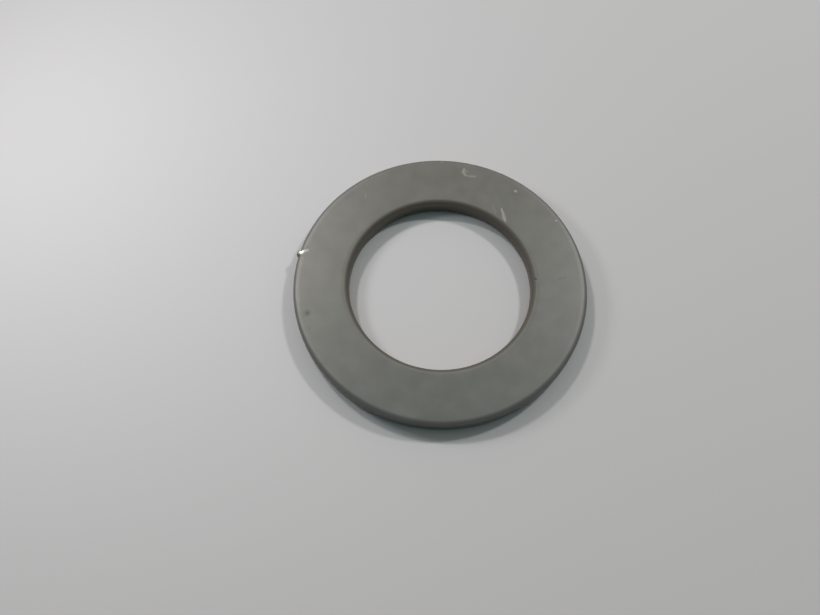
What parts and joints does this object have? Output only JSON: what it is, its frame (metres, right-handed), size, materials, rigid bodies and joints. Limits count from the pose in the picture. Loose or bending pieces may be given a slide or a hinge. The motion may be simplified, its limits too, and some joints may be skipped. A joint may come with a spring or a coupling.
{
  "type": "washer",
  "caption": "Flat ring washer in satin ground steel with rounded edges, a plain bore and a small burr on the rim; spreads load under a nut or spaces parts on a shaft.",
  "frame": {"origin": "on the bore's axis, in the plane of the lower face", "axes": "+Z along the bore, out of the upper face; +Y away from the viewer of the picture, so the burr on the rim lies near -X"},
  "size_m": [0.0452, 0.045, 0.003],
  "materials": {
    "ground_steel": "satin ground faces, darker rim and bore"
  },
  "bodies": {
    "root": {"washer": "ground_steel"}
  },
  "joints": []
}
